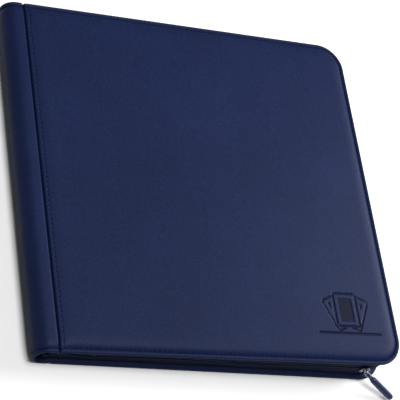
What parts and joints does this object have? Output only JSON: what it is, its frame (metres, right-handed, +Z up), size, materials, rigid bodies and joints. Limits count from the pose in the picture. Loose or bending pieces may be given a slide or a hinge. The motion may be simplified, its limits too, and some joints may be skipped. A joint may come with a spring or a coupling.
{
  "type": "trading card binder",
  "caption": "Zip-up padded binder with a wide spine, side-loading pocket pages, zip gussets, a slider and a sleeved pull, lying closed.",
  "frame": {"origin": "middle of the back cover's underside, on the surface that the binder lies on", "axes": "+Z up through the closed covers, +X from the spine to the fore edge, +Y from the bottom edge to the top edge"},
  "size_m": [0.3384, 0.339, 0.0373],
  "materials": {
    "skin": "padded artificial leather, fine grain, low sheen",
    "gusset": "thin artificial leather, fine grain",
    "foam": "closed-cell foam sheet",
    "board": "grey-brown pressed board",
    "lining": "woven lining",
    "page_film": "black page with clear pockets",
    "zip_tape": "woven tape",
    "zip_teeth": "nylon coil",
    "zip_metal": "plated die-cast metal",
    "pull_sleeve": "moulded sleeve"
  },
  "bodies": {
    "back_cover": {"back_cover_skin": "skin", "back_cover_foam": "foam", "back_cover_board": "board", "back_cover_lining": "lining", "back_gusset": "gusset", "back_zip_tape": "zip_tape", "back_zip_teeth": "zip_teeth", "back_zip_stop_bottom": "zip_metal", "back_zip_stop_top": "zip_metal", "zip_end_tab_bottom": "gusset", "zip_end_tab_top": "gusset"},
    "spine": {"spine_skin": "skin", "spine_board": "board", "spine_lining": "lining", "page_binding_strip": "lining"},
    "front_cover": {"front_cover_skin": "skin", "front_cover_foam": "foam", "front_cover_board": "board", "front_cover_lining": "lining", "front_gusset": "gusset", "front_zip_tape": "zip_tape", "front_zip_teeth": "zip_teeth", "front_zip_stop_bottom": "zip_metal", "front_zip_stop_top": "zip_metal"},
    "page_01_leaf": {"page_01": "page_film"},
    "page_02_leaf": {"page_02": "page_film"},
    "page_03_leaf": {"page_03": "page_film"},
    "page_04_leaf": {"page_04": "page_film"},
    "page_05_leaf": {"page_05": "page_film"},
    "page_06_leaf": {"page_06": "page_film"},
    "page_07_leaf": {"page_07": "page_film"},
    "page_08_leaf": {"page_08": "page_film"},
    "page_09_leaf": {"page_09": "page_film"},
    "page_10_leaf": {"page_10": "page_film"},
    "page_11_leaf": {"page_11": "page_film"},
    "page_12_leaf": {"page_12": "page_film"},
    "page_13_leaf": {"page_13": "page_film"},
    "page_14_leaf": {"page_14": "page_film"},
    "page_15_leaf": {"page_15": "page_film"},
    "page_16_leaf": {"page_16": "page_film"},
    "page_17_leaf": {"page_17": "page_film"},
    "page_18_leaf": {"page_18": "page_film"},
    "page_19_leaf": {"page_19": "page_film"},
    "page_20_leaf": {"page_20": "page_film"},
    "zip_slider": {"zip_slider_body": "zip_metal"},
    "zip_pull_link": {"pull_link": "zip_metal"},
    "zip_pull_sleeve": {"pull_sleeve": "pull_sleeve"}
  },
  "joints": [
    {"name": "spine_hinge", "type": "hinge", "parent": "back_cover", "child": "spine", "pos_m": [-0.16325, 0, 0.003], "axis": [0, -1, 0], "range_deg": [0, 90]},
    {"name": "front_cover_hinge", "type": "hinge", "parent": "spine", "child": "front_cover", "pos_m": [-0.16325, 0, 0.02166], "axis": [0, -1, 0], "range_deg": [0, 87.8]},
    {"name": "page_01_hinge", "type": "hinge", "parent": "spine", "child": "page_01_leaf", "pos_m": [-0.16125, 0, 0.01936], "axis": [0, -1, 0], "range_deg": [0, 72.95]},
    {"name": "page_02_hinge", "type": "hinge", "parent": "spine", "child": "page_02_leaf", "pos_m": [-0.16125, 0, 0.01862], "axis": [0, -1, 0], "range_deg": [0, 71.36]},
    {"name": "page_03_hinge", "type": "hinge", "parent": "spine", "child": "page_03_leaf", "pos_m": [-0.16125, 0, 0.01788], "axis": [0, -1, 0], "range_deg": [0, 69.78]},
    {"name": "page_04_hinge", "type": "hinge", "parent": "spine", "child": "page_04_leaf", "pos_m": [-0.16125, 0, 0.01714], "axis": [0, -1, 0], "range_deg": [0, 68.19]},
    {"name": "page_05_hinge", "type": "hinge", "parent": "spine", "child": "page_05_leaf", "pos_m": [-0.16125, 0, 0.0164], "axis": [0, -1, 0], "range_deg": [0, 66.59]},
    {"name": "page_06_hinge", "type": "hinge", "parent": "spine", "child": "page_06_leaf", "pos_m": [-0.16125, 0, 0.01566], "axis": [0, -1, 0], "range_deg": [0, 65]},
    {"name": "page_07_hinge", "type": "hinge", "parent": "spine", "child": "page_07_leaf", "pos_m": [-0.16125, 0, 0.01492], "axis": [0, -1, 0], "range_deg": [0, 63.41]},
    {"name": "page_08_hinge", "type": "hinge", "parent": "spine", "child": "page_08_leaf", "pos_m": [-0.16125, 0, 0.01418], "axis": [0, -1, 0], "range_deg": [0, 61.83]},
    {"name": "page_09_hinge", "type": "hinge", "parent": "spine", "child": "page_09_leaf", "pos_m": [-0.16125, 0, 0.01344], "axis": [0, -1, 0], "range_deg": [0, 60.23]},
    {"name": "page_10_hinge", "type": "hinge", "parent": "spine", "child": "page_10_leaf", "pos_m": [-0.16125, 0, 0.0127], "axis": [0, -1, 0], "range_deg": [0, 58.65]},
    {"name": "page_11_hinge", "type": "hinge", "parent": "spine", "child": "page_11_leaf", "pos_m": [-0.16125, 0, 0.01196], "axis": [0, -1, 0], "range_deg": [-60.84, 0]},
    {"name": "page_12_hinge", "type": "hinge", "parent": "spine", "child": "page_12_leaf", "pos_m": [-0.16125, 0, 0.01122], "axis": [0, -1, 0], "range_deg": [-62.44, 0]},
    {"name": "page_13_hinge", "type": "hinge", "parent": "spine", "child": "page_13_leaf", "pos_m": [-0.16125, 0, 0.01048], "axis": [0, -1, 0], "range_deg": [-64.03, 0]},
    {"name": "page_14_hinge", "type": "hinge", "parent": "spine", "child": "page_14_leaf", "pos_m": [-0.16125, 0, 0.00974], "axis": [0, -1, 0], "range_deg": [-65.61, 0]},
    {"name": "page_15_hinge", "type": "hinge", "parent": "spine", "child": "page_15_leaf", "pos_m": [-0.16125, 0, 0.009], "axis": [0, -1, 0], "range_deg": [-67.2, 0]},
    {"name": "page_16_hinge", "type": "hinge", "parent": "spine", "child": "page_16_leaf", "pos_m": [-0.16125, 0, 0.00826], "axis": [0, -1, 0], "range_deg": [-68.8, 0]},
    {"name": "page_17_hinge", "type": "hinge", "parent": "spine", "child": "page_17_leaf", "pos_m": [-0.16125, 0, 0.00752], "axis": [0, -1, 0], "range_deg": [-70.39, 0]},
    {"name": "page_18_hinge", "type": "hinge", "parent": "spine", "child": "page_18_leaf", "pos_m": [-0.16125, 0, 0.00678], "axis": [0, -1, 0], "range_deg": [-71.97, 0]},
    {"name": "page_19_hinge", "type": "hinge", "parent": "spine", "child": "page_19_leaf", "pos_m": [-0.16125, 0, 0.00604], "axis": [0, -1, 0], "range_deg": [-73.56, 0]},
    {"name": "page_20_hinge", "type": "hinge", "parent": "spine", "child": "page_20_leaf", "pos_m": [-0.16125, 0, 0.0053], "axis": [0, -1, 0], "range_deg": [-75.16, 0]},
    {"name": "zip_slide", "type": "slide", "parent": "back_cover", "child": "zip_slider", "axis": [-0.9998, 0, -0.0192], "range_m": [0, 0.2441]},
    {"name": "pull_link_hinge", "type": "hinge", "parent": "zip_slider", "child": "zip_pull_link", "pos_m": [0.1378, -0.1602, 0.01811], "axis": [0, 0, 1], "range_deg": [-126, 0]},
    {"name": "pull_sleeve_hinge", "type": "hinge", "parent": "zip_pull_link", "child": "zip_pull_sleeve", "pos_m": [0.14318, -0.16294, 0.01571], "axis": [0.3294, -0.1679, 0.9291], "range_deg": [-20, 20]}
  ],
  "couplings": [
    {"joint": "page_01_hinge", "follows": "front_cover_hinge", "ratio": 0.82978},
    {"joint": "page_02_hinge", "follows": "front_cover_hinge", "ratio": 0.81167},
    {"joint": "page_03_hinge", "follows": "front_cover_hinge", "ratio": 0.79356},
    {"joint": "page_04_hinge", "follows": "front_cover_hinge", "ratio": 0.77546},
    {"joint": "page_05_hinge", "follows": "front_cover_hinge", "ratio": 0.75735},
    {"joint": "page_06_hinge", "follows": "front_cover_hinge", "ratio": 0.73924},
    {"joint": "page_07_hinge", "follows": "front_cover_hinge", "ratio": 0.72113},
    {"joint": "page_08_hinge", "follows": "front_cover_hinge", "ratio": 0.70302},
    {"joint": "page_09_hinge", "follows": "front_cover_hinge", "ratio": 0.68491},
    {"joint": "page_10_hinge", "follows": "front_cover_hinge", "ratio": 0.6668},
    {"joint": "page_11_hinge", "follows": "spine_hinge", "ratio": -0.67494},
    {"joint": "page_12_hinge", "follows": "spine_hinge", "ratio": -0.69261},
    {"joint": "page_13_hinge", "follows": "spine_hinge", "ratio": -0.71028},
    {"joint": "page_14_hinge", "follows": "spine_hinge", "ratio": -0.72794},
    {"joint": "page_15_hinge", "follows": "spine_hinge", "ratio": -0.74561},
    {"joint": "page_16_hinge", "follows": "spine_hinge", "ratio": -0.76328},
    {"joint": "page_17_hinge", "follows": "spine_hinge", "ratio": -0.78094},
    {"joint": "page_18_hinge", "follows": "spine_hinge", "ratio": -0.79861},
    {"joint": "page_19_hinge", "follows": "spine_hinge", "ratio": -0.81628},
    {"joint": "page_20_hinge", "follows": "spine_hinge", "ratio": -0.83394}
  ]
}
